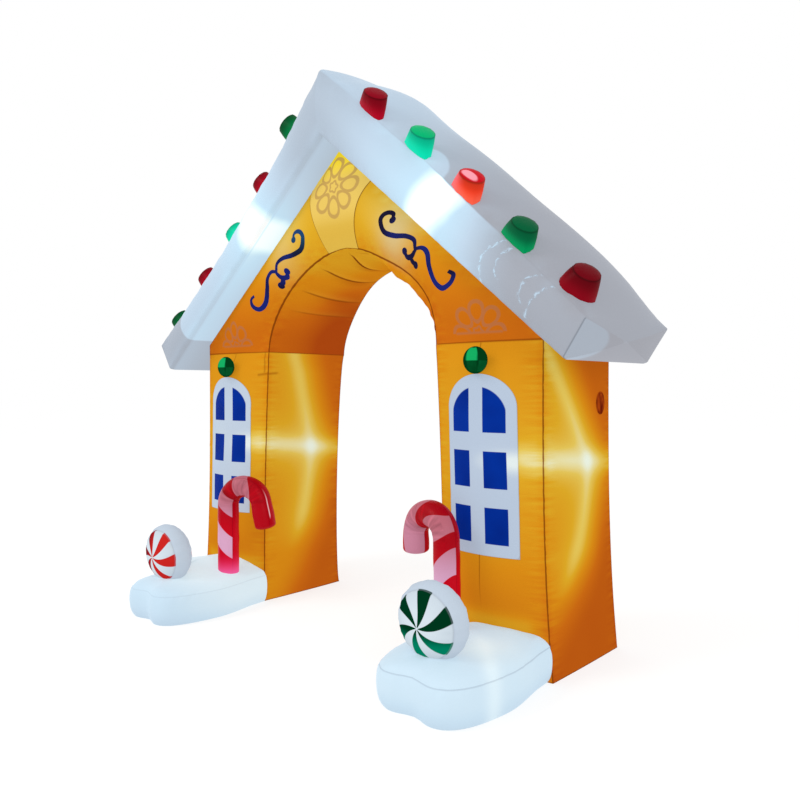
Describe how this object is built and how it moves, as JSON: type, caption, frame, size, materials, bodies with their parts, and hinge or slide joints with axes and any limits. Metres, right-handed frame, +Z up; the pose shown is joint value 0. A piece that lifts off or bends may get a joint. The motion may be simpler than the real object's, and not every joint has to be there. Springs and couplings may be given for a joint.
{
  "type": "inflatable arch",
  "caption": "Walk-through inflatable arch shaped like a gingerbread house, with swollen walls, a snowy gable roof, candy trim and two snow feet.",
  "frame": {"origin": "on the floor, below the centre of the whole arch's bounding box", "axes": "+X to the right seen from the front, the front with the sweets faces -Y, +Z up"},
  "size_m": [3.2216, 1.4426, 3.095],
  "materials": {
    "gingerbread": "satin",
    "keystone_yellow": "satin",
    "snow_white": "satin",
    "gumdrop_red": "satin",
    "gumdrop_green": "satin",
    "window_white": "satin",
    "ball_green": "satin",
    "cane_red": "satin",
    "mint_white": "satin",
    "patch_brown": "satin"
  },
  "bodies": {
    "root": {"gable": "gingerbread", "pillar_left": "gingerbread", "pillar_right": "gingerbread", "snow_roof": "snow_white", "snow_base_left": "snow_white", "snow_base_right": "snow_white", "keystone_panel": "keystone_yellow", "window_left": "window_white", "window_right": "window_white", "ball_left": "ball_green", "ball_right": "ball_green", "cane_left": "cane_red", "cane_right": "cane_red", "peppermint_left": "mint_white", "peppermint_right": "mint_white", "side_patch": "patch_brown", "gumdrop_left_1": "gumdrop_green", "gumdrop_right_1": "gumdrop_red", "gumdrop_left_2": "gumdrop_red", "gumdrop_right_2": "gumdrop_green", "gumdrop_left_3": "gumdrop_green", "gumdrop_right_3": "gumdrop_red", "gumdrop_left_4": "gumdrop_red", "gumdrop_right_4": "gumdrop_green", "gumdrop_left_5": "gumdrop_green", "gumdrop_right_5": "gumdrop_red"}
  },
  "joints": []
}
